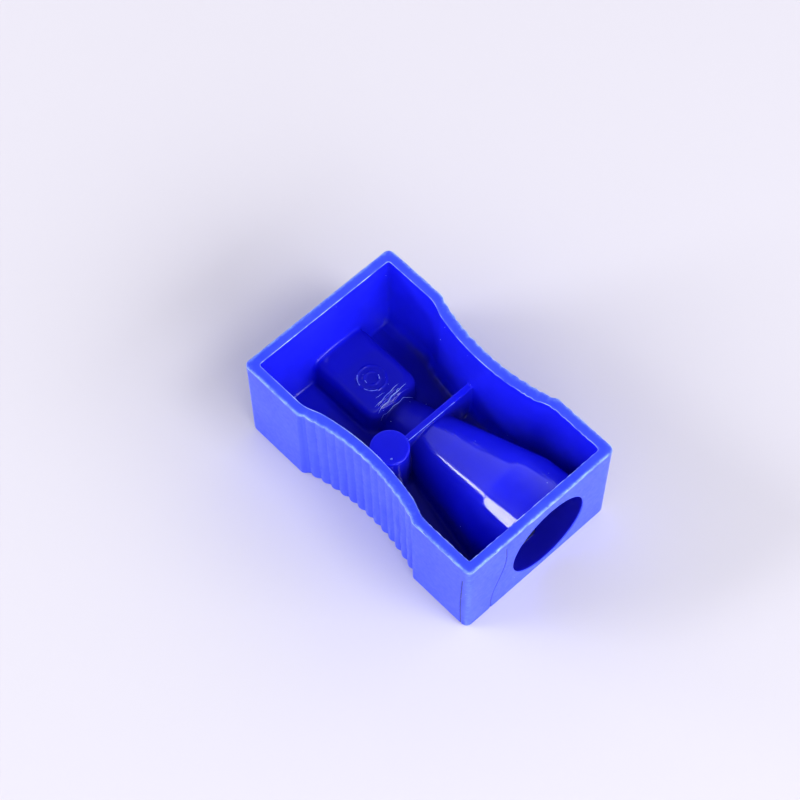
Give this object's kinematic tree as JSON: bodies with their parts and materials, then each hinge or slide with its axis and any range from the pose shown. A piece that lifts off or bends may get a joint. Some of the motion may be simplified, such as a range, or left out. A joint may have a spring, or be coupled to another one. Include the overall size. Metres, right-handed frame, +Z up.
{
  "type": "hand-held pencil sharpener",
  "caption": "Small wedge-cone prism pencil sharpener: moulded plastic body with fluted waist, skewed steel blade under the deck, held by a slotted screw.",
  "frame": {"origin": "middle of the deck's outer face, the face that carries the blade and that the sharpener lies on", "axes": "+X along the body towards the mouth of the pencil hole, +Z up out of the open hollow, +Y to the side with the shavings slot"},
  "size_m": [0.026, 0.0162, 0.0104],
  "materials": {
    "body_plastic": "gloss, slightly translucent blue moulding",
    "blade_steel": "ground carbon steel with a brighter ground bevel",
    "screw_steel": "zinc-plated steel"
  },
  "bodies": {
    "blade": {"blade": "blade_steel"},
    "body": {"body": "body_plastic"},
    "screw": {"screw": "screw_steel"}
  },
  "joints": [
    {"name": "screw_turn", "type": "hinge", "parent": "blade", "child": "screw", "pos_m": [-0.0011, -0.00315, 0], "axis": [0, 0, -1], "range_deg": [0, 1980]},
    {"name": "body_lift", "type": "slide", "parent": "blade", "child": "body", "axis": [0, 0, 1], "range_m": [0, 0.0044]}
  ],
  "couplings": [
    {"joint": "screw_turn", "follows": "body_lift", "rad_per_m": 7854}
  ]
}
